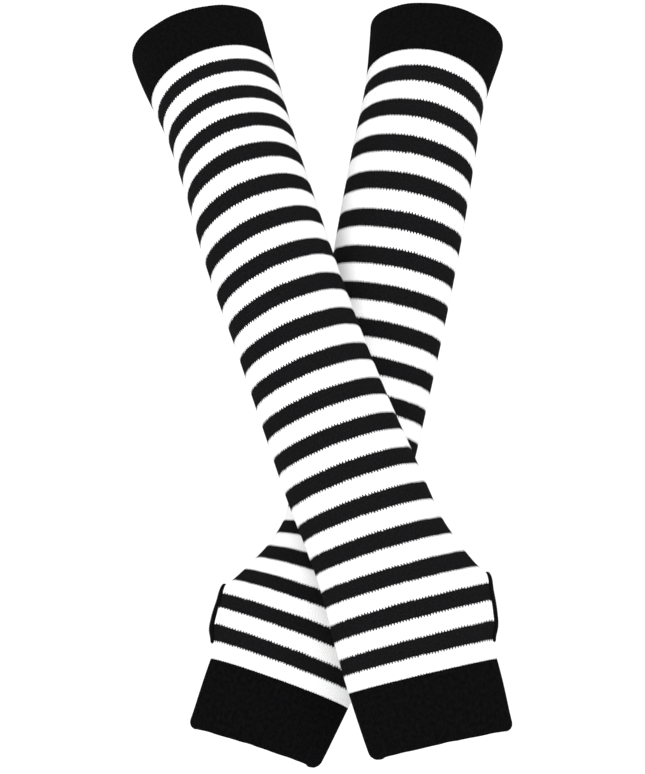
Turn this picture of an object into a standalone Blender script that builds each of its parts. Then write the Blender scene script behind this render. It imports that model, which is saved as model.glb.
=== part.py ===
"""A pair of long knitted arm warmers with thumb openings, filled out as on an arm, crossed.

Both warmers are knitted to one cut: a plain cuff round the hand, a long sleeve in bands of
white and black, a slit for the thumb on its outer side, bound with a cord of overlock
stitches, and a plain cuff on the upper arm. Each hangs with the hand end down and leans back
towards the shoulder, and the near one crosses in front of the far one.

A warmer is built upright in its own frame, with the hem's centre at the origin, +X to its
right, -Y to its front and +Z up the arm. An empty turns it to its place. The world's origin is
the centre of the near warmer's upper opening, where the arm holds it up. Metres and degrees.
"""

import math
from collections import namedtuple

import bmesh
import bpy
import numpy as np

COLLECTION = "arm_warmers"

# The knit
SLEEVE_WALL = 0.0018
CUFF_WALL = 0.0022
SEAM_GAP = 0.0003

# The cut, from the hem at the hand to the rim on the upper arm
HAND_CUFF = 0.0429
BANDS = 37
TOP_CUFF = 0.0435
HEM_CORNER = 0.005
HEM_RISE = 0.0045

# The thumb slit: where it starts and ends, in bands above the hand cuff, and its binding
SLIT_FROM = 1.05
SLIT_TO = 4.5
SLIT_HALF_OPEN = 0.0055
BINDING_RADIUS = 0.0011
ROOM_BESIDE_BINDING = 0.0016
ROOM_BEYOND_BINDING = 0.0030

# How finely the walls are divided
PANEL_COLUMNS = 12
CUFF_COLUMNS = 26
SPINE_STEP = 0.002
BINDING_POINTS = 26
FINE_BANDS = 6

WHITE = ("knit_white", (0.93, 0.93, 0.92))
BLACK = ("knit_black", (0.012, 0.012, 0.013))
CUFF_BLACK = ("cuff_black", (0.006, 0.006, 0.007))
BINDING_BLACK = ("binding_black", (0.004, 0.004, 0.004))
KNIT_ROUGHNESS = 0.9

# A warmer's pose and girth, a row for each station up the arm: at is the distance from the hem,
# lean_back the angle away from the viewer, aside the centre's place to the right, half_width the
# section's half width, roundness its depth over its width, tilt how far its right side is raised.
Station = namedtuple("Station", "at lean_back aside half_width roundness tilt")
NEAR_STATIONS = (
    Station(0.0000, 15.0, -0.0017, 0.0435, 0.28, -2.8),
    Station(0.0364, 11.5, 0.0007, 0.0455, 0.31, -3.0),
    Station(0.0764, 12.4, 0.0022, 0.0451, 0.42, -3.0),
    Station(0.1064, 12.7, 0.0023, 0.0427, 0.52, -4.2),
    Station(0.1364, 13.5, 0.0012, 0.0416, 0.63, -3.9),
    Station(0.1714, 14.6, -0.0007, 0.0411, 0.71, -1.9),
    Station(0.2164, 16.5, -0.0024, 0.0395, 0.75, 0.9),
    Station(0.2764, 19.4, -0.0034, 0.0386, 0.81, 4.8),
    Station(0.3364, 25.0, -0.0037, 0.0394, 0.86, 7.2),
    Station(0.3964, 34.2, -0.0019, 0.0390, 0.96, 4.8),
    Station(0.4464, 37.1, -0.0010, 0.0406, 0.90, 0.1),
    Station(0.5014, 35.3, -0.0021, 0.0448, 0.76, -1.7),
    Station(0.5180, 35.1, -0.0021, 0.0457, 0.72, -2.5),
)
FAR_STATIONS = (
    Station(0.0000, 18.0, -0.0025, 0.0420, 0.28, 4.2),
    Station(0.0414, 16.2, 0.0033, 0.0451, 0.33, 3.2),
    Station(0.0814, 17.2, 0.0099, 0.0464, 0.43, 3.3),
    Station(0.1114, 15.4, 0.0146, 0.0437, 0.51, 3.3),
    Station(0.1414, 14.0, 0.0176, 0.0367, 0.62, 3.3),
    Station(0.1764, 13.1, 0.0175, 0.0358, 0.70, 2.1),
    Station(0.2214, 12.5, 0.0161, 0.0370, 0.75, 0.8),
    Station(0.2814, 12.7, 0.0133, 0.0388, 0.79, -0.3),
    Station(0.3414, 14.5, 0.0098, 0.0402, 0.85, -0.6),
    Station(0.4014, 24.6, 0.0064, 0.0402, 0.87, -1.8),
    Station(0.4514, 31.2, 0.0042, 0.0401, 0.96, 1.0),
    Station(0.5014, 29.7, 0.0031, 0.0452, 0.80, 2.4),
)

# The height of one band, which the arm stretches: a row for each band where it is given
Stretch = namedtuple("Stretch", "at height")
NEAR_STRETCH = (
    Stretch(0, 0.01085),
    Stretch(5, 0.01104),
    Stretch(10, 0.01134),
    Stretch(18, 0.01169),
    Stretch(28, 0.01177),
    Stretch(37, 0.01310),
)
FAR_STRETCH = (
    Stretch(0, 0.01004),
    Stretch(5, 0.01006),
    Stretch(10, 0.01066),
    Stretch(18, 0.01137),
    Stretch(28, 0.01195),
    Stretch(37, 0.01251),
)

# How far the thumb draws the sleeve out to its outer side, by bands above the hand cuff
Thumb = namedtuple("Thumb", "at drawn_out")
NEAR_THUMB = (
    Thumb(0.0, 0.0000),
    Thumb(0.4, 0.0000),
    Thumb(1.0, 0.0014),
    Thumb(1.8, 0.0086),
    Thumb(2.6, 0.0121),
    Thumb(3.6, 0.0132),
    Thumb(4.4, 0.0128),
    Thumb(4.9, 0.0097),
    Thumb(5.9, 0.0056),
    Thumb(6.9, 0.0027),
    Thumb(7.8, 0.0007),
    Thumb(9.0, 0.0000),
)
FAR_THUMB = (
    Thumb(0.0, 0.0000),
    Thumb(0.4, 0.0004),
    Thumb(1.0, 0.0026),
    Thumb(1.8, 0.0094),
    Thumb(2.6, 0.0120),
    Thumb(3.6, 0.0118),
    Thumb(4.4, 0.0106),
    Thumb(4.9, 0.0076),
    Thumb(5.9, 0.0039),
    Thumb(6.9, 0.0015),
    Thumb(7.8, 0.0000),
    Thumb(9.0, 0.0000),
)

# A warmer: outer is +1 where the thumb is on the right, lean how far its top leans to the right
Warmer = namedtuple("Warmer", "name stations stretch thumb outer lean")
NEAR = Warmer("near", NEAR_STATIONS, NEAR_STRETCH, NEAR_THUMB, 1, -19.2)
FAR = Warmer("far", FAR_STATIONS, FAR_STRETCH, FAR_THUMB, -1, 14.0)
FAR_FROM_NEAR = (-0.1134, 0.0472, -0.0096)


def clear_scene():
    """Remove every object that the file starts with."""
    for thing in list(bpy.data.objects):
        bpy.data.objects.remove(thing, do_unlink=True)


def knit_material(finish):
    """The plain matt material of one yarn."""
    name, colour = finish
    if name in bpy.data.materials:
        return bpy.data.materials[name]
    material = bpy.data.materials.new(name)
    material.use_nodes = True
    shader = material.node_tree.nodes["Principled BSDF"]
    shader.inputs["Base Color"].default_value = (*colour, 1.0)
    shader.inputs["Roughness"].default_value = KNIT_ROUGHNESS
    shader.inputs["Metallic"].default_value = 0.0
    material.diffuse_color = (*colour, 1.0)
    return material


def follow(rows, column, at):
    """A column's value anywhere between the rows, on a smooth curve through them."""
    x = np.array([row.at for row in rows], float)
    y = np.array([getattr(row, column) for row in rows], float)
    slope = np.gradient(y, x)
    low = np.clip(np.searchsorted(x, at, side="right") - 1, 0, len(x) - 2)
    span = x[low + 1] - x[low]
    t = (at - x[low]) / span
    from_low = (1 + 2 * t) * (1 - t) ** 2 * y[low] + t * (1 - t) ** 2 * span * slope[low]
    from_high = t * t * (3 - 2 * t) * y[low + 1] - t * t * (1 - t) * span * slope[low + 1]
    return from_low + from_high


def band_line(warmer, band):
    """The distance from the hem to a height given in bands above the hand cuff."""
    heights = follow(warmer.stretch, "height", np.arange(BANDS) + 0.5)
    lines = HAND_CUFF + np.concatenate([[0.0], np.cumsum(heights)])
    return np.interp(band, np.arange(BANDS + 1), lines)


def spine(warmer):
    """The warmer's centre line: distances, places, and the three directions at each place.

    The line leans back by lean_back and wanders aside. Directions are up along the arm, across
    to the right, and to the front.
    """
    at = np.arange(0.0, band_line(warmer, BANDS) + TOP_CUFF + 2 * SPINE_STEP, SPINE_STEP)
    lean = np.radians(follow(warmer.stations, "lean_back", at))
    middle = (lean[1:] + lean[:-1]) / 2
    place = np.zeros((len(at), 3))
    place[:, 0] = follow(warmer.stations, "aside", at)
    place[1:, 1] = np.cumsum(np.sin(middle)) * SPINE_STEP
    place[1:, 2] = np.cumsum(np.cos(middle)) * SPINE_STEP
    up = np.gradient(place, at, axis=0)
    up /= np.linalg.norm(up, axis=1, keepdims=True)
    across = np.stack([up[:, 2], np.zeros(len(at)), -up[:, 0]], axis=1)
    across /= np.linalg.norm(across, axis=1, keepdims=True)
    return at, place, up, across, np.cross(across, up)


def along(line, values, at):
    """A vector that is given along the centre line, at other distances."""
    return np.stack([np.interp(at, line, values[:, axis]) for axis in range(3)], axis=-1)


def half_depth(warmer, at):
    """Half the section's depth from front to back."""
    return follow(warmer.stations, "half_width", at) * follow(warmer.stations, "roundness", at)


def thumb_draw(warmer, at):
    """How far the thumb draws the outer side out, at distances from the hem."""
    lines = band_line(warmer, np.arange(BANDS + 1))
    band = np.interp(at, lines, np.arange(BANDS + 1))
    band = np.minimum(band, warmer.thumb[-1].at)
    return np.maximum(follow(warmer.thumb, "drawn_out", band), 0.0)


def surface(warmer, at, angle, inset):
    """Points of the cloth, at distances from the hem and angles round the arm.

    A section is an oval: its half width times the cosine to the right, and its half depth times
    the sine to the front, both less the inset. The thumb adds its draw times the cosine cubed on
    the outer side. The sides curl in at the hem's corners, as a quarter circle, and the hem is
    higher at the back. The tilt raises the right side.

    at and angle are arrays of one shape, and the result has a place for each of their values.
    """
    line, place, up, across, front = spine(warmer)
    from_hem = np.clip(1 - at / HEM_CORNER, 0, 1)
    curl = HEM_CORNER * (1 - np.sqrt(1 - from_hem**2))
    at = at + HEM_RISE * np.maximum(-np.sin(angle), 0.0) * np.clip(1 - at / HAND_CUFF, 0, 1)
    half_width = follow(warmer.stations, "half_width", at) - curl - inset
    outward = np.maximum(warmer.outer * np.cos(angle), 0.0) ** 3
    x = half_width * np.cos(angle) + warmer.outer * thumb_draw(warmer, at) * outward
    y = (half_depth(warmer, at) - inset) * np.sin(angle)
    rise = x * np.tan(np.radians(follow(warmer.stations, "tilt", at)))
    return (
        along(line, place, at)
        + x[..., None] * along(line, across, at)
        + y[..., None] * along(line, front, at)
        + rise[..., None] * along(line, up, at)
    )


def wall(name, outer, inner, closed, finishes, finish_of_strip):
    """One closed wall between an outer and an inner grid of points.

    Each grid has a row for each ring and a column for each place round it. A closed wall runs
    all the way round. The others end in two long edges.
    """
    rings, columns = outer.shape[:2]
    inside = rings * columns
    strips = columns if closed else columns - 1
    faces, slots = [], []
    for ring in range(rings - 1):
        for column in range(strips):
            here, right = ring * columns + column, ring * columns + (column + 1) % columns
            faces.append((here, right, right + columns, here + columns))
            faces.append(tuple(inside + corner for corner in reversed(faces[-1])))
            slots += [finish_of_strip(ring)] * 2
    for ring, strip in ((0, 0), (rings - 1, rings - 2)):
        for column in range(strips):
            here, right = ring * columns + column, ring * columns + (column + 1) % columns
            faces.append((here, inside + here, inside + right, right))
            slots.append(finish_of_strip(strip))
    for column in () if closed else (0, columns - 1):
        for ring in range(rings - 1):
            here, above = ring * columns + column, (ring + 1) * columns + column
            faces.append((here, above, inside + above, inside + here))
            slots.append(finish_of_strip(ring))
    mesh = bpy.data.meshes.new(name)
    points = np.concatenate([outer.reshape(-1, 3), inner.reshape(-1, 3)])
    mesh.from_pydata(points.tolist(), [], faces)
    for finish in finishes:
        mesh.materials.append(knit_material(finish))
    mesh.polygons.foreach_set("material_index", slots)
    face_outwards(mesh)
    mesh.shade_smooth()
    mesh.set_sharp_from_angle(angle=math.radians(40))
    return bpy.data.objects.new(name, mesh)


def face_outwards(mesh):
    """Turn a closed mesh's faces to point out."""
    shell = bmesh.new()
    shell.from_mesh(mesh)
    bmesh.ops.recalc_face_normals(shell, faces=shell.faces)
    shell.to_mesh(mesh)
    shell.free()


def cuff(warmer, name, rows):
    """A plain cuff: a wall that closes round the arm, with a ring at each distance of rows."""
    turn = np.linspace(0, 2 * math.pi, CUFF_COLUMNS, endpoint=False)
    at, angle = np.meshgrid(rows, turn, indexing="ij")
    outer, inner = (surface(warmer, at, angle, inset) for inset in (0.0, CUFF_WALL))
    return wall(f"{warmer.name}_{name}", outer, inner, True, [CUFF_BLACK], lambda ring: 0)


def hand_cuff(warmer):
    """The cuff round the hand, with its rounded hem."""
    rows = [0.0, 0.25 * HEM_CORNER, HEM_CORNER, 0.4 * HAND_CUFF, 0.7 * HAND_CUFF]
    return cuff(warmer, "hand_cuff", [*rows, HAND_CUFF - SEAM_GAP / 2])


def top_cuff(warmer):
    """The cuff on the upper arm."""
    start = band_line(warmer, BANDS) + SEAM_GAP / 2
    rows = start + (TOP_CUFF - SEAM_GAP / 2) * np.array([0.0, 0.35, 0.7, 1.0])
    return cuff(warmer, "top_cuff", rows)


def slit_room(warmer, at):
    """How far each panel stays from the side line: an oval at the slit, half a seam elsewhere."""
    start, end = band_line(warmer, np.array([SLIT_FROM, SLIT_TO]))
    half_length = (end - start) / 2 + ROOM_BEYOND_BINDING
    half_open = SLIT_HALF_OPEN + ROOM_BESIDE_BINDING
    share = (at - (start + end) / 2) / half_length
    oval = half_open * np.sqrt(np.clip(1 - share**2, 0, 1))
    return np.maximum(oval, SEAM_GAP / 2)


def sleeve_rows(warmer):
    """The sleeve's rings: one at each band's edge, with more beside the thumb slit."""
    lines = band_line(warmer, np.arange(BANDS + 1))
    lines[[0, -1]] += SEAM_GAP / 2, -SEAM_GAP / 2
    between = band_line(warmer, np.arange(FINE_BANDS) + 0.5)
    slit = band_line(warmer, np.array([SLIT_FROM, SLIT_TO]))
    beyond = ROOM_BEYOND_BINDING * np.array([-1.0, 1.0])
    return np.sort(np.concatenate([lines, between, slit + beyond]))


def sleeve_panel(warmer, name, facing):
    """The front or back half of the striped sleeve, between its two side lines.

    The outer side line opens into the thumb slit, with room left there for the binding.
    """
    rows = sleeve_rows(warmer)
    lines = band_line(warmer, np.arange(BANDS + 1))
    share = np.linspace(0, 1, PANEL_COLUMNS + 1)
    layers = []
    for inset in (0.0, SLEEVE_WALL):
        depth = half_depth(warmer, rows) - inset
        at_slit = np.arcsin(slit_room(warmer, rows) / depth)
        at_fold = np.arcsin(SEAM_GAP / 2 / depth)
        first, last = (at_slit, at_fold) if warmer.outer > 0 else (at_fold, at_slit)
        angle = facing * (first[:, None] + share * (math.pi - first - last)[:, None])
        at = np.repeat(rows[:, None], len(share), axis=1)
        layers.append(surface(warmer, at, angle, inset))
    middle = (rows[1:] + rows[:-1]) / 2
    band = np.searchsorted(lines, middle) - 1
    return wall(
        f"{warmer.name}_{name}", *layers, False, [WHITE, BLACK], lambda ring: int(band[ring]) % 2
    )


def thumb_binding(warmer):
    """The cord of overlock stitches round the slit, a closed loop in the middle of the wall."""
    start, end = band_line(warmer, np.array([SLIT_FROM, SLIT_TO]))
    turn = np.linspace(0, 2 * math.pi, BINDING_POINTS, endpoint=False)
    at = (start + end) / 2 + (end - start) / 2 * np.cos(turn)
    depth = half_depth(warmer, at) - SLEEVE_WALL / 2
    angle = np.arcsin(SLIT_HALF_OPEN * np.sin(turn) / depth)
    if warmer.outer < 0:
        angle = math.pi - angle
    points = surface(warmer, at, angle, SLEEVE_WALL / 2)
    curve = bpy.data.curves.new(f"{warmer.name}_thumb_binding", "CURVE")
    curve.dimensions = "3D"
    curve.bevel_depth = BINDING_RADIUS
    curve.bevel_resolution = 2
    spline = curve.splines.new("POLY")
    spline.points.add(len(points) - 1)
    spline.points.foreach_set("co", np.c_[points, np.ones(len(points))].ravel())
    spline.use_cyclic_u = True
    curve.materials.append(knit_material(BINDING_BLACK))
    return bpy.data.objects.new(curve.name, curve)


def place_warmer(warmer, hem, collection):
    """Build one warmer's pieces and turn them to their place from an empty at the hem's centre."""
    holder = bpy.data.objects.new(f"{warmer.name}_warmer", None)
    holder.location = hem
    holder.rotation_euler = (0.0, math.radians(warmer.lean), 0.0)
    collection.objects.link(holder)
    pieces = [
        hand_cuff(warmer),
        sleeve_panel(warmer, "sleeve_front", 1),
        sleeve_panel(warmer, "sleeve_back", -1),
        thumb_binding(warmer),
        top_cuff(warmer),
    ]
    for piece in pieces:
        collection.objects.link(piece)
        piece.parent = holder


def opening_centre(warmer):
    """The centre of the upper opening, from the hem's centre, once the warmer is turned."""
    line, place = spine(warmer)[:2]
    x, y, z = along(line, place, band_line(warmer, BANDS) + TOP_CUFF)
    lean = math.radians(warmer.lean)
    across = x * math.cos(lean) + z * math.sin(lean)
    return np.array([across, y, z * math.cos(lean) - x * math.sin(lean)])


def main():
    """Build the pair, the near warmer's upper opening at the origin."""
    clear_scene()
    collection = bpy.data.collections.new(COLLECTION)
    bpy.context.scene.collection.children.link(collection)
    near_hem = -opening_centre(NEAR)
    place_warmer(NEAR, near_hem, collection)
    place_warmer(FAR, near_hem + np.array(FAR_FROM_NEAR), collection)
    bpy.context.view_layer.update()


main()
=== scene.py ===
"""A pair of long knitted arm warmers, striped white and black, crossed and filled out.

Each warmer is a plain ribbed cuff round the hand, a long striped sleeve with a bound slit for the
thumb, and a ribbed cuff on the upper arm. The cloth is worked out round the same centre line and
oval sections as the CAD solids it stands for: a point lies at a distance from the hem, at an angle
round the arm and at a depth into the wall. Metres and degrees, in the CAD's own frame.
"""

import logging
import math
from dataclasses import dataclass, replace
from enum import Enum
from functools import cached_property
from typing import NamedTuple

import bpy
import numpy as np
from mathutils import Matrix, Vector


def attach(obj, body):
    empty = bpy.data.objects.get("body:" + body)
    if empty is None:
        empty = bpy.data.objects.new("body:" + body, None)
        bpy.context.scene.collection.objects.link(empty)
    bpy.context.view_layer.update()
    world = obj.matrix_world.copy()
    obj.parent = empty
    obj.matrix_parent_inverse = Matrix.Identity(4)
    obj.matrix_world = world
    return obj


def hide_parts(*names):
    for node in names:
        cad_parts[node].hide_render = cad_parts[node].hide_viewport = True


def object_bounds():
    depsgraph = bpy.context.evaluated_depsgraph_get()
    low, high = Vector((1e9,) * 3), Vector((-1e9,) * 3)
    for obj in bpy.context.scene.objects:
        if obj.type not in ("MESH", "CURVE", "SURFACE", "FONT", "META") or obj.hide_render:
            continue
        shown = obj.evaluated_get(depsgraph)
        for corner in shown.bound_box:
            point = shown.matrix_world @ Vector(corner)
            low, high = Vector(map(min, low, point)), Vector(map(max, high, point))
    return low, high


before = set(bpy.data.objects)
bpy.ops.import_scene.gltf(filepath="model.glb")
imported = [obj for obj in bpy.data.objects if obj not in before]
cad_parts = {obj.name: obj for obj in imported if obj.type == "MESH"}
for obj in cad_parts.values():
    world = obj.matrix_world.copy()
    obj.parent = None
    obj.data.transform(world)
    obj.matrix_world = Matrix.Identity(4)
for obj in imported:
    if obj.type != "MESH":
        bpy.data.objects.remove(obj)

CAD_BOX = [[float(x) for x in corner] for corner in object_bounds()]
LOG = logging.getLogger("arm_warmers")

Grid = np.ndarray
Socket = bpy.types.NodeSocket
Feed = Socket | float | tuple[float, ...]


class Thumb(Enum):
    """The side of a warmer, as it is seen, that the thumb is on."""

    RIGHT = 1
    LEFT = -1


class Yarn(Enum):
    """The colours of yarn, as linear red, green and blue."""

    WHITE = (0.95, 0.95, 0.95)
    BLACK = (0.0046, 0.0046, 0.0050)
    CUFF = (0.0019, 0.0019, 0.0021)
    THREAD = (0.0009, 0.0009, 0.0010)


# The form an arm gives each warmer


class Station(NamedTuple):
    """A section of the warmer: its distance from the hem and its place and shape there."""

    at: float
    lean_back: float
    aside: float
    half_width: float
    roundness: float
    tilt: float


class Value(NamedTuple):
    """A number that is given in places up the warmer."""

    at: float
    value: float


NEAR_STATIONS = (
    Station(0.0000, 15.0, -0.0017, 0.0435, 0.28, -2.8),
    Station(0.0364, 11.5, 0.0007, 0.0455, 0.31, -3.0),
    Station(0.0764, 12.4, 0.0022, 0.0451, 0.42, -3.0),
    Station(0.1064, 12.7, 0.0023, 0.0427, 0.52, -4.2),
    Station(0.1364, 13.5, 0.0012, 0.0416, 0.63, -3.9),
    Station(0.1714, 14.6, -0.0007, 0.0411, 0.71, -1.9),
    Station(0.2164, 16.5, -0.0024, 0.0395, 0.75, 0.9),
    Station(0.2764, 19.4, -0.0034, 0.0386, 0.81, 4.8),
    Station(0.3364, 25.0, -0.0037, 0.0394, 0.86, 7.2),
    Station(0.3964, 34.2, -0.0019, 0.0390, 0.96, 4.8),
    Station(0.4464, 37.1, -0.0010, 0.0406, 0.90, 0.1),
    Station(0.5014, 35.3, -0.0021, 0.0448, 0.76, -1.7),
    Station(0.5180, 35.1, -0.0021, 0.0457, 0.72, -2.5),
)
FAR_STATIONS = (
    Station(0.0000, 18.0, -0.0025, 0.0420, 0.28, 4.2),
    Station(0.0414, 16.2, 0.0033, 0.0451, 0.33, 3.2),
    Station(0.0814, 17.2, 0.0099, 0.0464, 0.43, 3.3),
    Station(0.1114, 15.4, 0.0146, 0.0437, 0.51, 3.3),
    Station(0.1414, 14.0, 0.0176, 0.0367, 0.62, 3.3),
    Station(0.1764, 13.1, 0.0175, 0.0358, 0.70, 2.1),
    Station(0.2214, 12.5, 0.0161, 0.0370, 0.75, 0.8),
    Station(0.2814, 12.7, 0.0133, 0.0388, 0.79, -0.3),
    Station(0.3414, 14.5, 0.0098, 0.0402, 0.85, -0.6),
    Station(0.4014, 24.6, 0.0064, 0.0402, 0.87, -1.8),
    Station(0.4514, 31.2, 0.0042, 0.0401, 0.96, 1.0),
    Station(0.5014, 29.7, 0.0031, 0.0452, 0.80, 2.4),
)
# The height of one band, by its number above the hand cuff
NEAR_BANDS = (
    Value(0, 0.01085),
    Value(5, 0.01104),
    Value(10, 0.01134),
    Value(18, 0.01169),
    Value(28, 0.01177),
    Value(37, 0.01310),
)
FAR_BANDS = (
    Value(0, 0.01004),
    Value(5, 0.01006),
    Value(10, 0.01066),
    Value(18, 0.01137),
    Value(28, 0.01195),
    Value(37, 0.01251),
)
# How far the thumb draws the sleeve out, by bands above the hand cuff
NEAR_DRAW = (
    Value(0.0, 0.0000),
    Value(0.4, 0.0000),
    Value(1.0, 0.0014),
    Value(1.8, 0.0086),
    Value(2.6, 0.0121),
    Value(3.6, 0.0132),
    Value(4.4, 0.0128),
    Value(4.9, 0.0097),
    Value(5.9, 0.0056),
    Value(6.9, 0.0027),
    Value(7.8, 0.0007),
    Value(9.0, 0.0000),
)
FAR_DRAW = (
    Value(0.0, 0.0000),
    Value(0.4, 0.0004),
    Value(1.0, 0.0026),
    Value(1.8, 0.0094),
    Value(2.6, 0.0120),
    Value(3.6, 0.0118),
    Value(4.4, 0.0106),
    Value(4.9, 0.0076),
    Value(5.9, 0.0039),
    Value(6.9, 0.0015),
    Value(7.8, 0.0000),
    Value(9.0, 0.0000),
)
# How far each warmer's top leans to the right, and the way from the near hem to the far one
NEAR_LEAN = -19.2
FAR_LEAN = 14.0
FAR_FROM_NEAR = np.array([-0.1134, 0.0472, -0.0096])

# The bands in a sleeve, and how high the cuffs are
BANDS = 37
HAND_CUFF = 0.0429
TOP_CUFF = 0.0435
# The radius of the hem's corners, its rise at the back, and the step along the centre line
HEM_CORNER = 0.005
HEM_RISE = 0.0045
SPINE_STEP = 0.002
# A slit no wider than this is shut
SHUT = 1e-9
# Points round the arm that a girth is measured through
FINE_TURN = 361


def follow(rows: tuple, column: str, at: Grid) -> Grid:
    """A column's value anywhere between the rows, on a cubic Hermite curve through them.

    Args:
        rows: Named tuples with a field called at.
        column: The field to read.
        at: Where to read it.

    Returns:
        The values, in at's shape.
    """
    x = np.array([row.at for row in rows], float)
    y = np.array([getattr(row, column) for row in rows], float)
    slope = np.gradient(y, x)
    low = np.clip(np.searchsorted(x, at, side="right") - 1, 0, len(x) - 2)
    span = x[low + 1] - x[low]
    t = (at - x[low]) / span
    from_low = (1 + 2 * t) * (1 - t) ** 2 * y[low] + t * (1 - t) ** 2 * span * slope[low]
    from_high = t * t * (3 - 2 * t) * y[low + 1] - t * t * (1 - t) * span * slope[low + 1]
    return from_low + from_high


@dataclass(frozen=True)
class ArmForm:
    """One warmer's form: a bent centre line with an oval section at each place on it.

    Args:
        name: near or far.
        stations: The sections, from the hem up.
        bands: The height of one band, by its number.
        draw: How far the thumb draws the sleeve out, by bands.
        thumb: The side the thumb is on.
        lean: How far the top leans to the right, in degrees.
        hem: Where the hem's centre is.
    """

    name: str
    stations: tuple[Station, ...]
    bands: tuple[Value, ...]
    draw: tuple[Value, ...]
    thumb: Thumb
    lean: float
    hem: tuple[float, float, float] = (0.0, 0.0, 0.0)

    @cached_property
    def band_lines(self) -> Grid:
        """The distance from the hem of each band's lower edge, and of the last one's upper edge."""
        heights = follow(self.bands, "value", np.arange(BANDS) + 0.5)
        return HAND_CUFF + np.concatenate([[0.0], np.cumsum(heights)])

    @cached_property
    def top(self) -> float:
        """The distance from the hem to the upper rim."""
        return float(self.band_lines[-1] + TOP_CUFF)

    def at_band(self, band: Grid) -> Grid:
        """The distance from the hem to heights given in bands above the hand cuff."""
        return np.interp(band, np.arange(BANDS + 1), self.band_lines)

    def band_at(self, at: Grid) -> Grid:
        """The height in bands above the hand cuff at distances from the hem."""
        return np.interp(at, self.band_lines, np.arange(BANDS + 1))

    @cached_property
    def spine(self) -> tuple[Grid, Grid, Grid, Grid, Grid]:
        """The centre line: distances, places, and the ways up the arm, across it and to its front.

        It is the running sum of sin(lean_back) away from the viewer and cos(lean_back) upwards.

        Returns:
            The five arrays, with a row for each step up the line.
        """
        at = np.arange(0.0, self.top + 2 * SPINE_STEP, SPINE_STEP)
        lean = np.radians(follow(self.stations, "lean_back", at))
        middle = (lean[1:] + lean[:-1]) / 2
        place = np.zeros((len(at), 3))
        place[:, 0] = follow(self.stations, "aside", at)
        place[1:, 1] = np.cumsum(np.sin(middle)) * SPINE_STEP
        place[1:, 2] = np.cumsum(np.cos(middle)) * SPINE_STEP
        up = np.gradient(place, at, axis=0)
        up /= np.linalg.norm(up, axis=1, keepdims=True)
        across = np.stack([up[:, 2], np.zeros(len(at)), -up[:, 0]], axis=1)
        across /= np.linalg.norm(across, axis=1, keepdims=True)
        return at, place, up, across, np.cross(across, up)

    def along(self, values: Grid, at: Grid) -> Grid:
        """A vector that is given along the centre line, at other distances."""
        line = self.spine[0]
        return np.stack([np.interp(at, line, values[:, axis]) for axis in range(3)], axis=-1)

    def half_depth(self, at: Grid) -> Grid:
        """Half the section's depth: its half width times its roundness."""
        width = follow(self.stations, "half_width", at)
        return width * follow(self.stations, "roundness", at)

    def thumb_draw(self, at: Grid) -> Grid:
        """How far the thumb draws the outer side out."""
        band = np.minimum(self.band_at(at), self.draw[-1].at)
        return np.maximum(follow(self.draw, "value", band), 0.0)

    def turned(self, points: Grid) -> Grid:
        """Points of the upright warmer, leant to their place: a turn about Y, then the hem's place.

        Args:
            points: Places with the hem's centre at the origin.

        Returns:
            Places in the CAD's frame.
        """
        angle = math.radians(self.lean)
        c, s = math.cos(angle), math.sin(angle)
        x, y, z = points[..., 0], points[..., 1], points[..., 2]
        return np.stack([x * c + z * s, y, z * c - x * s], axis=-1) + np.array(self.hem)

    def surface(self, at: Grid, angle: Grid, inset: Grid) -> Grid:
        """Points of the cloth.

        x = (half_width - curl - inset) cos(angle) + thumb_draw cos(angle)^3 on the thumb's side,
        y = (half_depth - inset) sin(angle), and the tilt raises the right side by x tan(tilt). The
        hem is higher at the back, by HEM_RISE times -sin(angle) that fades out up the cuff.

        Args:
            at: Distances from the hem.
            angle: Angles round the arm, 0 to the right and 90 to the front.
            inset: Depths into the wall, below zero where the cloth stands proud.

        Returns:
            Places in the CAD's frame.
        """
        _, place, up, across, front = self.spine
        side = self.thumb.value
        from_hem = np.clip(1 - at / HEM_CORNER, 0, 1)
        curl = HEM_CORNER * (1 - np.sqrt(1 - from_hem**2))
        at = at + HEM_RISE * np.maximum(-np.sin(angle), 0.0) * np.clip(1 - at / HAND_CUFF, 0, 1)
        half_width = follow(self.stations, "half_width", at) - curl - inset
        outward = np.maximum(side * np.cos(angle), 0.0) ** 3
        x = half_width * np.cos(angle) + side * self.thumb_draw(at) * outward
        y = (self.half_depth(at) - inset) * np.sin(angle)
        rise = x * np.tan(np.radians(follow(self.stations, "tilt", at)))
        points = (
            self.along(place, at)
            + x[..., None] * self.along(across, at)
            + y[..., None] * self.along(front, at)
            + rise[..., None] * self.along(up, at)
        )
        return self.turned(points)

    def even_angles(self, at: Grid, gap: Grid, columns: int) -> Grid:
        """Angles that share each section's girth out evenly, from the thumb's side round to it.

        The girth is the running sum of sqrt(dx^2 + dy^2) round the oval, from gap past the side
        line to gap before it.

        Args:
            at: The rows' distances from the hem.
            gap: Each row's distance from the side line.
            columns: How many equal parts.

        Returns:
            A row of columns + 1 angles for each place.
        """
        width = follow(self.stations, "half_width", at)[:, None]
        depth = self.half_depth(at)[:, None]
        first = np.arcsin(np.clip(gap / depth[:, 0], 0, 1))[:, None]
        turn = first + (2 * math.pi - 2 * first) * np.linspace(0, 1, FINE_TURN)[None, :]
        outward = np.maximum(np.cos(turn), 0.0) ** 3
        x = width * np.cos(turn) + self.thumb_draw(at)[:, None] * outward
        steps = np.hypot(np.diff(x, axis=1), np.diff(depth * np.sin(turn), axis=1))
        girth = np.concatenate([np.zeros((len(at), 1)), np.cumsum(steps, axis=1)], axis=1)
        share = np.linspace(0, 1, columns + 1)
        even = np.stack([np.interp(share * g[-1], g, t) for g, t in zip(girth, turn)])
        return even if self.thumb is Thumb.RIGHT else math.pi - even


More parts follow.
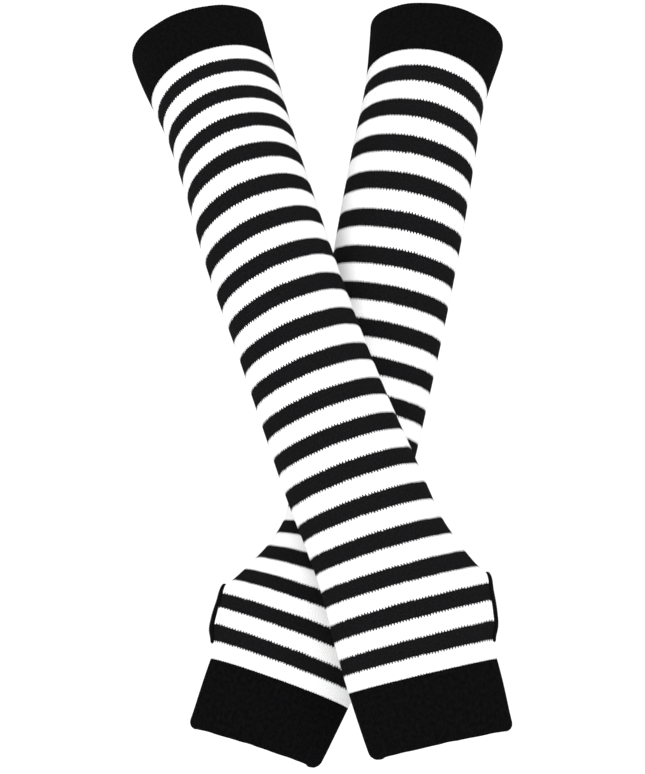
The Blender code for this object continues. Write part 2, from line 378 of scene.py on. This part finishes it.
def make_object(
    name: str, points: Grid, faces: list, uv: Grid | None, material: bpy.types.Material
) -> bpy.types.Object:
    """A mesh object at the origin, with smooth faces that point outwards.

    Args:
        name: The object's name.
        points: Its vertices.
        faces: Lists of vertex numbers.
        uv: A place on the knit for each corner of each face, or None.
        material: Its finish.

    Returns:
        The object, in the scene.
    """
    mesh = bpy.data.meshes.new(name)
    mesh.from_pydata(points.reshape(-1, 3).tolist(), [], faces)
    if uv is not None:
        layer = mesh.uv_layers.new(name="knit")
        layer.data.foreach_set("uv", uv.astype(np.float32).ravel())
    mesh.materials.append(material)
    mesh.polygons.foreach_set("use_smooth", np.ones(len(mesh.polygons), bool))
    mesh.update()
    thing = bpy.data.objects.new(name, mesh)
    bpy.context.scene.collection.objects.link(thing)
    return thing


def ring_faces(rows: int, columns: int, flip: bool) -> tuple[Grid, Grid]:
    """The faces of a grid that closes both ways, like a ring.

    Args:
        rows: Points along the section's profile.
        columns: Points round the arm.
        flip: Turn each face over.

    Returns:
        The vertex numbers, and the corner's (row, column) before wrapping, for texture places.
    """
    row, column = np.meshgrid(np.arange(rows), np.arange(columns), indexing="ij")
    r = np.stack([row, row, row + 1, row + 1], axis=-1).reshape(-1, 4)
    c = np.stack([column, column + 1, column + 1, column], axis=-1).reshape(-1, 4)
    if flip:
        r, c = r[:, ::-1], c[:, ::-1]
    return (r % rows) * columns + c % columns, np.stack([r, c], axis=-1)


# Finishes


FLECK_RANGE = (0.35, 0.7)


class Wiring:
    """Adds nodes to a tree and joins them, so that a formula reads as one."""

    def __init__(self, tree: bpy.types.NodeTree) -> None:
        """Keep the tree that nodes are added to."""
        self.tree = tree

    def node(self, kind: str, **inputs: Feed) -> bpy.types.Node:
        """A node of a kind, with its inputs set or joined by name.

        Args:
            kind: Blender's name for the kind of node.
            inputs: What each input gets, under its name with _ for a space.

        Returns:
            The node.
        """
        made = self.tree.nodes.new(kind)
        for name, value in inputs.items():
            self.put(made.inputs[name.replace("_", " ")], value)
        return made

    def put(self, socket: Socket, value: Feed) -> None:
        """Join another socket to this one, or set its value.

        Args:
            socket: The input.
            value: The socket that feeds it, or its value.
        """
        if isinstance(value, Socket):
            self.tree.links.new(value, socket)
        else:
            socket.default_value = value

    def math(self, operation: str, *values: Feed) -> Socket:
        """The result of a Math node.

        Args:
            operation: Blender's name for the sum.
            values: What goes in, in order.

        Returns:
            The result's socket.
        """
        made = self.tree.nodes.new("ShaderNodeMath")
        made.operation = operation
        for socket, value in zip(made.inputs, values):
            self.put(socket, value)
        return made.outputs[0]

    def mix(self, share: Feed, low: Feed, high: Feed) -> Socket:
        """A colour between two, by share.

        Args:
            share: 0 for the low colour and 1 for the high one.
            low: One colour.
            high: The other colour.

        Returns:
            The colour's socket.
        """
        made = self.tree.nodes.new("ShaderNodeMix")
        made.data_type = "RGBA"
        for number, value in ((0, share), (6, low), (7, high)):
            self.put(made.inputs[number], value)
        return made.outputs[2]

    def share(self, value: Feed, low: float, high: float) -> Socket:
        """How far a value is on its way from low to high, held at 0 and 1.

        Args:
            value: The value.
            low: Where the share is 0.
            high: Where it is 1.

        Returns:
            The share's socket.
        """
        made = self.node("ShaderNodeMapRange", Value=value)
        made.inputs[1].default_value = low
        made.inputs[2].default_value = high
        return made.outputs[0]

    def noise(self, vector: Feed, scale: float, detail: float = 2.0) -> Socket:
        """Soft noise round a half."""
        made = self.node("ShaderNodeTexNoise", Vector=vector, Scale=scale, Detail=detail)
        return made.outputs[0]

    def combine(self, x: Feed, y: Feed) -> Socket:
        """A flat vector from two numbers."""
        return self.node("ShaderNodeCombineXYZ", X=x, Y=y).outputs[0]


def new_group(name: str, inputs: dict[str, float], outputs: list[str]) -> tuple:
    """A shader node group with a vector called Place, numbers, and the outputs asked for.

    Args:
        name: The group's name.
        inputs: Each number's name and value.
        outputs: The names of the outputs, all numbers.

    Returns:
        The group, its wiring, its input node and its output node.
    """
    group = bpy.data.node_groups.new(name, "ShaderNodeTree")
    group.interface.new_socket("Place", in_out="INPUT", socket_type="NodeSocketVector")
    for label, value in inputs.items():
        socket = group.interface.new_socket(label, in_out="INPUT", socket_type="NodeSocketFloat")
        socket.default_value = value
    for label in outputs:
        group.interface.new_socket(label, in_out="OUTPUT", socket_type="NodeSocketFloat")
    wiring = Wiring(group)
    return group, wiring, wiring.node("NodeGroupInput"), wiring.node("NodeGroupOutput")


def stitch_group() -> bpy.types.NodeTree:
    """The right side of plain knitting, on a Place given in wales across and bands up.

    A wale's legs meet in a V: courses = Courses * bands - Slant * (|w| - 1/4), with w from -1/2 to
    1/2 across the wale. Where the colour changes, the legs interlock as a comb: its teeth are the
    same V made steeper and held at Tooth courses either way. Height is the legs' round backs, Band
    is the band's number and Fleck the yarn's own unevenness.

    Returns:
        The node group.
    """
    inputs = {"Courses": 8.0, "Slant": 1.6, "Tooth": 0.42, "Ragged": 0.3}
    group, w, given, out = new_group("plain_stitches", inputs, ["Height", "Band", "Fleck"])
    split = w.node("ShaderNodeSeparateXYZ", Vector=given.outputs["Place"])
    wale, band = split.outputs[0], split.outputs[1]
    across = w.math("ABSOLUTE", w.math("SUBTRACT", w.math("FRACT", wale), 0.5))
    slope = w.math("MULTIPLY", given.outputs["Slant"], w.math("SUBTRACT", across, 0.25))
    course = w.math("SUBTRACT", w.math("MULTIPLY", band, given.outputs["Courses"]), slope)
    own = w.node("ShaderNodeTexWhiteNoise", Vector=w.combine(w.math("FLOOR", wale), 0.0))
    slow = w.combine(w.math("MULTIPLY", wale, 0.35), w.math("MULTIPLY", band, 0.6))
    wander = w.noise(slow, 1.0)
    uneven = w.math("ADD", own.outputs[0], w.math("MULTIPLY", wander, 2.0))
    uneven = w.math("MULTIPLY", w.math("SUBTRACT", uneven, 1.5), given.outputs["Ragged"])
    course = w.math("ADD", course, uneven)
    off_leg = w.math("ABSOLUTE", w.math("SUBTRACT", w.math("MULTIPLY", across, 4.0), 1.0))
    leg = w.math("SQRT", w.math("MAXIMUM", w.math("SUBTRACT", 1.0, off_leg), 0.0))
    turn = w.math("COSINE", w.math("MULTIPLY", course, 2 * math.pi))
    height = w.math("MULTIPLY", leg, w.math("ADD", w.math("MULTIPLY", turn, 0.3), 0.7))
    steep = w.math("MULTIPLY", w.math("SUBTRACT", across, 0.25), 10.0)
    comb = w.math("MAXIMUM", w.math("MINIMUM", steep, 1.0), -1.0)
    edge = w.math("MULTIPLY", band, given.outputs["Courses"])
    edge = w.math("SUBTRACT", edge, w.math("MULTIPLY", comb, given.outputs["Tooth"]))
    edge = w.math("ADD", edge, uneven)
    number = w.math("FLOOR", w.math("DIVIDE", edge, given.outputs["Courses"]))
    place = w.combine(w.math("MULTIPLY", wale, 1.7), w.math("MULTIPLY", band, 11.0))
    w.put(out.inputs["Height"], height)
    w.put(out.inputs["Band"], number)
    w.put(out.inputs["Fleck"], w.noise(place, 1.0, 4.0))
    return group


def rib_group() -> bpy.types.NodeTree:
    """Fine rib knitting, on a Place given in ribs across and courses up.

    Height is cos(pi a), with a from 0 to 1/2 away from the rib's middle, times the legs' slanting
    backs. Fleck is the yarn's unevenness.

    Returns:
        The node group.
    """
    group, w, given, out = new_group("fine_rib", {"Slant": 1.2}, ["Height", "Fleck"])
    split = w.node("ShaderNodeSeparateXYZ", Vector=given.outputs["Place"])
    rib, course = split.outputs[0], split.outputs[1]
    across = w.math("ABSOLUTE", w.math("SUBTRACT", w.math("FRACT", rib), 0.5))
    row = w.math("SUBTRACT", course, w.math("MULTIPLY", given.outputs["Slant"], across))
    turn = w.math("COSINE", w.math("MULTIPLY", row, 2 * math.pi))
    ridge = w.math("COSINE", w.math("MULTIPLY", across, math.pi))
    back = w.math("ADD", w.math("MULTIPLY", turn, 0.25), 0.75)
    w.put(out.inputs["Height"], w.math("MULTIPLY", ridge, back))
    place = w.combine(w.math("MULTIPLY", rib, 0.9), w.math("MULTIPLY", course, 0.5))
    w.put(out.inputs["Fleck"], w.noise(place, 1.0, 4.0))
    return group


def rgba(colour: tuple[float, float, float], share: float = 1.0) -> tuple[float, ...]:
    """A colour with its alpha, brightened or darkened by share."""
    return (*(channel * share for channel in colour), 1.0)


def plain_shader(name: str, roughness: float, shine: float) -> tuple:
    """A new matt material.

    Args:
        name: Its name.
        roughness: How rough it is.
        shine: How strongly it reflects, 0.5 for a plain surface.

    Returns:
        The material, its wiring and its shader.
    """
    material = bpy.data.materials.new(name)
    material.use_nodes = True
    shader = material.node_tree.nodes["Principled BSDF"]
    shader.inputs["Roughness"].default_value = roughness
    shader.inputs["Specular IOR Level"].default_value = shine
    return material, Wiring(material.node_tree), shader


def bump(w: Wiring, shader: bpy.types.Node, height: Feed, distance: float) -> None:
    """Raise the surface by a height of 0 to 1 times a distance."""
    made = w.node("ShaderNodeBump", Height=height, Strength=1.0, Distance=distance)
    w.put(shader.inputs["Normal"], made.outputs[0])


@dataclass(frozen=True)
class StripedKnit:
    """The sleeve's finish: plain stitches whose colour changes with the band, with painted shade on the
    white between the legs.

    Args:
        courses: Rows of stitches in a band.
        depth: How far a stitch's legs stand out.
        between: The white's brightness between the legs, a painted shade in the knit's hollows.
        flecks: The black's brightness in its darkest and lightest flecks.
    """

    courses: float = 8.0
    depth: float = 0.0005
    between: float = 0.5
    flecks: tuple[float, float] = (0.6, 1.7)

    def build(self) -> bpy.types.Material:
        """The finish, on the piece's own UV map.

        Returns:
            The material.
        """
        material, w, shader = plain_shader("striped_knit", 0.92, 0.03)
        place = w.node("ShaderNodeUVMap")
        place.uv_map = "knit"
        stitch = w.node("ShaderNodeGroup")
        stitch.node_tree = stitch_group()
        w.put(stitch.inputs["Place"], place.outputs[0])
        w.put(stitch.inputs["Courses"], self.courses)
        height, band, fleck = (stitch.outputs[name] for name in ("Height", "Band", "Fleck"))
        black = w.math("ABSOLUTE", w.math("MODULO", band, 2.0))
        shade, full = rgba(Yarn.WHITE.value, self.between), rgba(Yarn.WHITE.value)
        # Painted shade: the white goes darker where the stitch height is low, down to the between share of
        # its colour, in the hollows between and under the legs.
        white = w.mix(w.share(height, 0.0, 0.7), shade, full)
        deep, pale = (rgba(Yarn.BLACK.value, share) for share in self.flecks)
        dark = w.mix(w.share(fleck, *FLECK_RANGE), deep, pale)
        w.put(shader.inputs["Base Color"], w.mix(black, white, dark))
        bump(w, shader, height, self.depth)
        return material


@dataclass(frozen=True)
class RibKnit:
    """The cuffs' finish: fine ribs in black.

    Args:
        depth: How far a rib stands out.
        flecks: The yarn's brightness in its darkest and lightest flecks.
    """

    depth: float = 0.0004
    flecks: tuple[float, float] = (0.7, 1.6)

    def build(self) -> bpy.types.Material:
        """The finish, on the piece's own UV map.

        Returns:
            The material.
        """
        material, w, shader = plain_shader("cuff_knit", 0.93, 0.02)
        place = w.node("ShaderNodeUVMap")
        place.uv_map = "knit"
        rib = w.node("ShaderNodeGroup")
        rib.node_tree = rib_group()
        w.put(rib.inputs["Place"], place.outputs[0])
        deep, pale = (rgba(Yarn.CUFF.value, share) for share in self.flecks)
        colour = w.mix(w.share(rib.outputs["Fleck"], *FLECK_RANGE), deep, pale)
        w.put(shader.inputs["Base Color"], colour)
        bump(w, shader, rib.outputs["Height"], self.depth)
        return material


@dataclass(frozen=True)
class OverlockThread:
    """The binding's finish: black thread with a faint gloss.

    Args:
        flecks: The thread's brightness in its darkest and lightest flecks.
        scale: Flecks in a metre.
    """

    flecks: tuple[float, float] = (1.0, 2.2)
    scale: float = 1800.0

    def build(self) -> bpy.types.Material:
        """The finish, on Object coordinates.

        Returns:
            The material.
        """
        material, w, shader = plain_shader("overlock_thread", 0.75, 0.03)
        place = w.node("ShaderNodeTexCoord").outputs["Object"]
        deep, pale = (rgba(Yarn.THREAD.value, share) for share in self.flecks)
        fleck = w.share(w.noise(place, self.scale, 3.0), *FLECK_RANGE)
        w.put(shader.inputs["Base Color"], w.mix(fleck, deep, pale))
        return material


# The pieces


class Sine(NamedTuple):
    """A wave round the arm: its height, how many there are in a turn, and where it starts."""

    height: float
    waves: int
    start: float

    def at(self, turn: Grid) -> Grid:
        """The wave's height at angles round the arm."""
        return self.height * np.sin(self.waves * turn + self.start)


# How the free edge of a cuff goes up and down, and how it stands out
EDGE_WAVE = (Sine(0.0002, 5, 0.7), Sine(0.0001, 13, 2.0))
EDGE_FLARE = (Sine(0.0003, 3, 1.3), Sine(0.0002, 8, 0.0))


@dataclass
class Cuff:
    """A ribbed cuff: a closed profile carried round the arm.

    Args:
        form: The warmer's form.
        name: The CAD node it stands for.
        low: Its lower edge's distance from the hem.
        high: Its upper edge's distance from the hem.
        finish: Its material.
        free_low: The lower edge is a free hem.
        ribs: Ribs round the arm.
        per_rib: Points across a rib.
        wall: The cloth's thickness.
        rib_height: How far a rib stands out.
        row: The height between two rows of points.
        course: The height of a row of stitches.
        edge_reach: How far from the free edge it waves.
        rim_points: Points on the half circle at the free edge.
        inner_every: Outer rows for each inner one.
        rim_share: The ribs' height round the rim, as a share of the outer side's.
        inner_share: Their height on the inner side, as a share too.
    """

    form: ArmForm
    name: str
    low: float
    high: float
    finish: bpy.types.Material
    free_low: bool
    ribs: int = 92
    per_rib: int = 6
    wall: float = 0.0022
    rib_height: float = 0.00022
    row: float = 0.0016
    course: float = 0.0013
    edge_reach: float = 0.012
    rim_points: int = 5
    inner_every: int = 3
    rim_share: float = 0.6
    inner_share: float = 0.7

    def profile(self) -> tuple[Grid, Grid, Grid]:
        """The closed profile: distances from the hem, insets, and the share of the ribs' height.

        The outer side runs up, the rim turns in on a half circle of half the wall where the edge
        is free, and the inner side runs down. The ribs stand out on both sides, less on the inner
        one and round the rim. Insets grow inwards, so the inner side's share is below zero.

        Returns:
            The three columns.
        """
        count = int((self.high - self.low) / self.row)
        half = self.wall / 2
        turn = np.linspace(0, math.pi, self.rim_points + 2)[1:-1]
        low_at, high_at = (half, 0.0) if self.free_low else (0.0, half)
        outer = np.linspace(self.low + low_at, self.high - high_at, count)
        inner = outer[:: -self.inner_every]
        rim_at, rim_in = half * np.sin(turn), half - half * np.cos(turn)
        empty = np.zeros(0)
        top_at, top_in = (empty, empty) if self.free_low else (self.high - half + rim_at, rim_in)
        hem_at, hem_in = (self.low + half - rim_at, rim_in[::-1]) if self.free_low else (empty, empty)
        at = np.concatenate([outer, top_at, inner, hem_at])
        inset = np.concatenate([np.zeros(count), top_in, np.full(len(inner), self.wall), hem_in])
        rim = self.rim_share
        parts = ((outer, 1.0), (top_at, rim), (inner, -self.inner_share), (hem_at, rim))
        share = np.concatenate([np.full(len(part), ribs) for part, ribs in parts])
        return at, inset, share

    def build(self) -> bpy.types.Object:
        """The cuff's mesh, dressed and standing for its node.

        A rib is (1 - cos(ribs turn)) / 2 high, and the free edge waves by a few tenths of a
        millimetre, as sums of two sines.

        Returns:
            The cuff.
        """
        at, inset, share = self.profile()
        columns = self.ribs * self.per_rib
        angle = self.form.even_angles(at, np.zeros(len(at)), columns)[:, :-1]
        turn = np.linspace(0, 2 * math.pi, columns, endpoint=False)[None, :]
        rib = 0.5 - 0.5 * np.cos(self.ribs * turn)
        free = self.low if self.free_low else self.high
        near_edge = np.clip(1 - np.abs(at - free) / self.edge_reach, 0, 1)[:, None]
        wave, flare = (sum(sine.at(turn) for sine in sines) for sines in (EDGE_WAVE, EDGE_FLARE))
        depth = inset[:, None] - self.rib_height * share[:, None] * rib - near_edge * flare
        place = at[:, None] + near_edge * wave
        points = self.form.surface(np.maximum(place, 0.0), angle, depth)
        faces, corners = ring_faces(len(at), columns, self.form.thumb is Thumb.RIGHT)
        length = np.concatenate([[0.0], np.cumsum(np.hypot(np.diff(at), np.diff(inset)))])
        length = np.append(length, length[-1] + self.wall)
        uv = np.stack([corners[..., 1] / self.per_rib, length[corners[..., 0]] / self.course], axis=-1)
        thing = make_object(f"{self.name}_rib", points, faces.tolist(), uv, self.finish)
        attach(thing, "root")
        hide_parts(self.name)
        return thing


@dataclass
class StripedSleeve:
    """The striped sleeve: an outer layer of raised wales over a plainer inner layer.

    Args:
        form: The warmer's form.
        finish: Its material.
        slit_from: The slit's lower end, in bands.
        slit_to: Its upper end, in bands.
        slit_half_open: Half its width where it is widest.
        wales: Columns of stitches round the arm.
        per_wale: Outer points across a wale. The inner layer has one.
        wall: The cloth's thickness.
        wale_height: How far a wale stands out.
        rows_per_band: Rows of points in a band.
        slit_rows: Rows of points along the slit.
        rows_apart: The least height between the slit's rows and the bands' rows.
    """

    form: ArmForm
    finish: bpy.types.Material
    slit_from: float = 1.05
    slit_to: float = 4.5
    slit_half_open: float = 0.0055
    wales: int = 118
    per_wale: int = 4
    wall: float = 0.0018
    wale_height: float = 0.00018
    rows_per_band: int = 4
    slit_rows: int = 25
    rows_apart: float = 0.0004

    def slit_ends(self) -> tuple[float, float]:
        """The slit's ends, as distances from the hem."""
        low, high = self.form.at_band(np.array([self.slit_from, self.slit_to]))
        return float(low), float(high)

    def slit_gap(self, at: Grid) -> Grid:
        """Half the slit's width: an ellipse's half width, and zero past its ends.

        Args:
            at: Distances from the hem.

        Returns:
            Half the width at each distance.
        """
        low, high = self.slit_ends()
        share = (at - (low + high) / 2) / ((high - low) / 2)
        return self.slit_half_open * np.sqrt(np.clip(1 - share**2, 0, 1))

    def rows(self) -> Grid:
        """The rows' distances from the hem, closer together at the slit's ends.

        Returns:
            The distances, from the hand cuff up.
        """
        regular = self.form.at_band(np.linspace(0, BANDS, BANDS * self.rows_per_band + 1))
        low, high = self.slit_ends()
        turn = np.linspace(0, math.pi, self.slit_rows)
        slit = (low + high) / 2 - (high - low) / 2 * np.cos(turn)
        away = np.array([np.abs(regular - at).min() > self.rows_apart for at in slit])
        away[[0, -1]] = True
        return np.unique(np.concatenate([regular, slit[away]]))

    def layer(self, columns: int, depth: Grid) -> Grid:
        """One layer's points.

        Args:
            columns: Equal parts of the girth.
            depth: The inset, for each column's end.

        Returns:
            A row of columns + 1 points for each place up the sleeve.
        """
        at = self.rows()
        angle = self.form.even_angles(at, self.slit_gap(at), columns)
        return self.form.surface(np.repeat(at[:, None], columns + 1, axis=1), angle, depth)

    def numbers(self, columns: int, start: int) -> Grid:
        """Vertex numbers for a layer, whose last column is its first one where the slit is shut.

        Args:
            columns: Equal parts of the girth.
            start: The layer's first number.

        Returns:
            A row of columns + 1 numbers for each place up the sleeve.
        """
        at = self.rows()
        number = start + np.arange(len(at) * (columns + 1)).reshape(len(at), columns + 1)
        shut = self.slit_gap(at) <= SHUT
        number[shut, -1] = number[shut, 0]
        return number

    def build(self) -> bpy.types.Object:
        """The sleeve's mesh, dressed and standing for its two halves.

        A wale is (1 - cos(2 pi wales share)) / 2 high, from the thumb's side line round. Strips of
        faces join the two layers at both ends and along the slit.

        Returns:
            The sleeve.
        """
        at = self.rows()
        fine, coarse = self.wales * self.per_wale, self.wales
        share = np.linspace(0, 1, fine + 1)[None, :]
        wale = 0.5 - 0.5 * np.cos(2 * math.pi * self.wales * share)
        outer = self.layer(fine, np.repeat(-self.wale_height * wale, len(at), axis=0))
        inner = self.layer(coarse, np.full((len(at), coarse + 1), self.wall))
        points = np.concatenate([outer.reshape(-1, 3), inner.reshape(-1, 3)])
        out = self.numbers(fine, 0)
        inn = self.numbers(coarse, outer.shape[0] * outer.shape[1])
        faces, places = [], []
        band = self.form.band_at(at)

        def strip(number: Grid, step: float, turned: bool) -> None:
            """Add a layer's faces, and their corners' wale and band.

            Args:
                number: The layer's vertex numbers.
                step: Wales in a column.
                turned: Turn each face over.
            """
            row, column = np.meshgrid(np.arange(len(at) - 1), np.arange(number.shape[1] - 1), indexing="ij")
            r = np.stack([row, row, row + 1, row + 1], axis=-1).reshape(-1, 4)
            c = np.stack([column, column + 1, column + 1, column], axis=-1).reshape(-1, 4)
            if turned:
                r, c = r[:, ::-1], c[:, ::-1]
            faces.extend(number[r, c].tolist())
            places.append(np.stack([c * step, band[r]], axis=-1).reshape(-1, 2))

        right = self.form.thumb is Thumb.RIGHT
        strip(out, 1 / self.per_wale, right)
        strip(inn, 1.0, not right)
        for row, turned in ((0, right), (len(at) - 1, not right)):
            for c in range(coarse):
                edge = list(out[row, c * self.per_wale : (c + 1) * self.per_wale + 1])
                face = [*edge, inn[row, c + 1], inn[row, c]]
                spots = [(c + k / self.per_wale, band[row]) for k in range(self.per_wale + 1)]
                spots += [(c + 1, band[row]), (c, band[row])]
                faces.append([int(n) for n in (face if turned else face[::-1])])
                places.append(np.array(spots if turned else spots[::-1]))
        open_rows = np.nonzero(self.slit_gap((at[1:] + at[:-1]) / 2) > SHUT)[0]
        for column, turned in ((0, not right), (-1, right)):
            for r in open_rows:
                face = [out[r, column], out[r + 1, column], inn[r + 1, column], inn[r, column]]
                face = list(dict.fromkeys(int(n) for n in face))
                wale_at = 0.0 if column == 0 else float(coarse)
                faces.append(face if turned else face[::-1])
                places.append(np.array([(wale_at, band[r])] * len(face)))
        used = np.unique(np.concatenate([np.asarray(face) for face in faces]))
        renumber = np.full(len(points), -1)
        renumber[used] = np.arange(len(used))
        faces = [renumber[face].tolist() for face in faces]
        name = f"{self.form.name}_striped_sleeve"
        thing = make_object(name, points[used], faces, np.concatenate(places), self.finish)
        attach(thing, "root")
        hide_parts(f"{self.form.name}_sleeve_front", f"{self.form.name}_sleeve_back")
        return thing

    def girth(self) -> float:
        """The sleeve's girth, halfway through its wall.

        Returns:
            The mean over its rows.
        """
        at = self.rows()
        middle = self.layer(self.wales, np.full((len(at), self.wales + 1), self.wall / 2))
        return float(np.linalg.norm(np.diff(middle, axis=1), axis=2).sum(axis=1).mean())


@dataclass
class ThumbBinding:
    """The overlock stitches round the thumb slit: a lumpy cord that follows the slit's edge.

    Args:
        form: The warmer's form.
        sleeve: The sleeve it binds.
        finish: Its material.
        radius: The cord's mean radius.
        stitches: Threads laid over the edge, all round the slit.
        lump: How far a thread stands out of the cord.
        inset: The cord's middle's depth into the wall.
        points_along: Points round the slit.
        points_round: Points round the cord.
        probe: The depth between two points that tell which way is out.
    """

    form: ArmForm
    sleeve: StripedSleeve
    finish: bpy.types.Material
    radius: float = 0.0014
    stitches: int = 70
    lump: float = 0.0004
    inset: float = 0.0005
    points_along: int = 560
    points_round: int = 14
    probe: float = 0.004

    def build(self) -> bpy.types.Object:
        """The cord's mesh, dressed and standing for its node.

        A circle is carried round the slit. Its radius is radius + lump |cos(n t / 2 + a / 2)|, for n
        stitches, t round the slit and a round the cord.

        Returns:
            The cord.
        """
        low, high = self.sleeve.slit_ends()
        turn = np.linspace(0, 2 * math.pi, self.points_along, endpoint=False)
        at = (low + high) / 2 + (high - low) / 2 * np.cos(turn)
        depth = self.form.half_depth(at) - self.inset
        angle = np.arcsin(self.sleeve.slit_half_open * np.sin(turn) / depth)
        if self.form.thumb is Thumb.LEFT:
            angle = math.pi - angle
        line = self.form.surface(at, angle, np.full(len(at), self.inset))
        along = np.roll(line, -1, axis=0) - np.roll(line, 1, axis=0)
        along /= np.linalg.norm(along, axis=1, keepdims=True)
        outward = line - self.form.surface(at, angle, np.full(len(at), self.inset + self.probe))
        outward -= (outward * along).sum(axis=1, keepdims=True) * along
        outward /= np.linalg.norm(outward, axis=1, keepdims=True)
        aside = np.cross(along, outward)
        a = np.linspace(0, 2 * math.pi, self.points_round, endpoint=False)[None, :]
        radius = self.radius + self.lump * np.abs(np.cos(self.stitches * turn[:, None] / 2 + a / 2))
        points = (
            line[:, None, :]
            + (radius * np.cos(a))[..., None] * outward[:, None, :]
            + (radius * np.sin(a))[..., None] * aside[:, None, :]
        )
        faces, _ = ring_faces(self.points_along, self.points_round, False)
        thing = make_object(f"{self.form.name}_overlock", points, faces.tolist(), None, self.finish)
        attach(thing, "root")
        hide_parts(f"{self.form.name}_thumb_binding")
        return thing


@dataclass
class ArmWarmer:
    """One warmer, from the hem at the hand to the rim on the upper arm.

    Args:
        form: Its form.
        striped: The sleeve's finish.
        ribbed: The cuffs' finish.
        thread: The binding's finish.
        top_ribs: Ribs round the top cuff.
    """

    form: ArmForm
    striped: bpy.types.Material
    ribbed: bpy.types.Material
    thread: bpy.types.Material
    top_ribs: int = 110

    def build(self) -> list[bpy.types.Object]:
        """Its pieces: the hand cuff, the sleeve, its binding and the top cuff.

        Returns:
            The pieces, from the hem up.
        """
        form, name = self.form, self.form.name
        sleeve_top = form.top - TOP_CUFF
        hand = Cuff(form, f"{name}_hand_cuff", 0.0, HAND_CUFF, self.ribbed, True).build()
        sleeve = StripedSleeve(form, self.striped)
        knit = sleeve.build()
        binding = ThumbBinding(form, sleeve, self.thread).build()
        sleeve.girth()
        top = Cuff(form, f"{name}_top_cuff", sleeve_top, form.top, self.ribbed, False, self.top_ribs)
        return [hand, knit, binding, top.build()]


class Lamp(NamedTuple):
    """A square soft light: its name, place, the length of its side, and its power in watts."""

    name: str
    place: tuple[float, float, float]
    size: float
    power: float


@dataclass(frozen=True)
class Studio:
    """A pale floor, even light from all round, two soft lights and the camera.

    Args:
        near_hem: The near warmer's hem centre, which the camera was fitted to.
        camera_from_hem: The camera's place from there.
        lens: The focal length for a 36 mm frame on the picture's long side.
        floor_height: The floor's height.
        floor_reach: How far it goes each way.
        sky: The strength of the light from all round.
        lamps: The soft lights.
    """

    near_hem: tuple[float, float, float]
    camera_from_hem: tuple[float, float, float] = (-0.07315, -1.50093, 0.21396)
    lens: float = 116.87
    floor_height: float = -0.75
    floor_reach: float = 6.0
    sky: float = 1.1
    lamps: tuple[Lamp, ...] = (
        Lamp("key", (-0.7, -2.0, 0.9), 1.6, 40.0),
        Lamp("fill", (0.9, -2.0, 0.1), 1.6, 24.0),
    )

    def build(self) -> None:
        """Make the floor, the world, the lights and the camera."""
        self.floor()
        self.world()
        for lamp in self.lamps:
            self.light(lamp)
        self.camera()

    def floor(self) -> None:
        """A plain pale floor below the hands, which isn't part of the object."""
        material, w, shader = plain_shader("pale_floor", 0.9, 0.1)
        place = w.node("ShaderNodeTexCoord").outputs["Object"]
        tone = w.share(w.noise(place, 3.0), 0.3, 0.7)
        w.put(shader.inputs["Base Color"], w.mix(tone, (0.96, 0.96, 0.96, 1), (0.98, 0.98, 0.98, 1)))
        side = np.array([-self.floor_reach, self.floor_reach])
        x, y = np.meshgrid(side, side)
        points = np.stack([x, y, np.full_like(x, self.floor_height)], axis=-1)
        floor = make_object("studio_floor", points, [[0, 1, 3, 2]], None, material)

    def world(self) -> None:
        """Even white light from all round."""
        world = bpy.data.worlds.new("studio")
        bpy.context.scene.world = world
        world.use_nodes = True
        background = world.node_tree.nodes["Background"]
        background.inputs["Color"].default_value = (1.0, 1.0, 1.0, 1.0)
        background.inputs["Strength"].default_value = self.sky

    def light(self, lamp: Lamp) -> None:
        """A square soft light that faces the pair's middle.

        Args:
            lamp: What it is and where.
        """
        data = bpy.data.lights.new(lamp.name, "AREA")
        data.size = lamp.size
        data.energy = lamp.power
        light = bpy.data.objects.new(lamp.name, data)
        bpy.context.scene.collection.objects.link(light)
        light.location = lamp.place
        middle = [(low + high) / 2 for low, high in zip(*CAD_BOX)]
        x, y, z = (a - b for a, b in zip(lamp.place, middle))
        light.rotation_euler = (math.atan2(math.hypot(x, y), z), 0.0, math.atan2(y, x) + math.pi / 2)

    def camera(self) -> None:
        """A level camera that looks along +Y from 1.5 m, at the photograph's angle and size."""
        data = bpy.data.cameras.new("camera")
        data.sensor_width = 36.0
        data.lens = self.lens
        camera = bpy.data.objects.new("camera", data)
        bpy.context.scene.collection.objects.link(camera)
        camera.location = [a + b for a, b in zip(self.near_hem, self.camera_from_hem)]
        camera.rotation_euler = (math.pi / 2, 0.0, 0.0)
        bpy.context.scene.camera = camera


def hem_place(form: ArmForm) -> Grid:
    """Where a warmer's hem centre is when the centre of its upper opening is the origin."""
    top = form.along(form.spine[1], np.array(form.top))
    return -form.turned(top)


def main() -> None:
    """Build both warmers and the studio, and log each piece."""
    logging.basicConfig(level=logging.INFO, format="%(message)s")
    bpy.context.scene.view_settings.view_transform = "Standard"
    near = ArmForm("near", NEAR_STATIONS, NEAR_BANDS, NEAR_DRAW, Thumb.RIGHT, NEAR_LEAN)
    far = ArmForm("far", FAR_STATIONS, FAR_BANDS, FAR_DRAW, Thumb.LEFT, FAR_LEAN)
    near_hem = hem_place(near)
    far_hem = near_hem + FAR_FROM_NEAR
    striped, ribbed, thread = StripedKnit().build(), RibKnit().build(), OverlockThread().build()
    for form in (replace(near, hem=tuple(near_hem)), replace(far, hem=tuple(far_hem))):
        for piece in ArmWarmer(form, striped, ribbed, thread).build():
            faces = sum(len(p.vertices) - 2 for p in piece.data.polygons)
            LOG.info("%s: %d triangles", piece.name, faces)
    Studio(tuple(near_hem)).build()


if __name__ == "__main__":
    main()
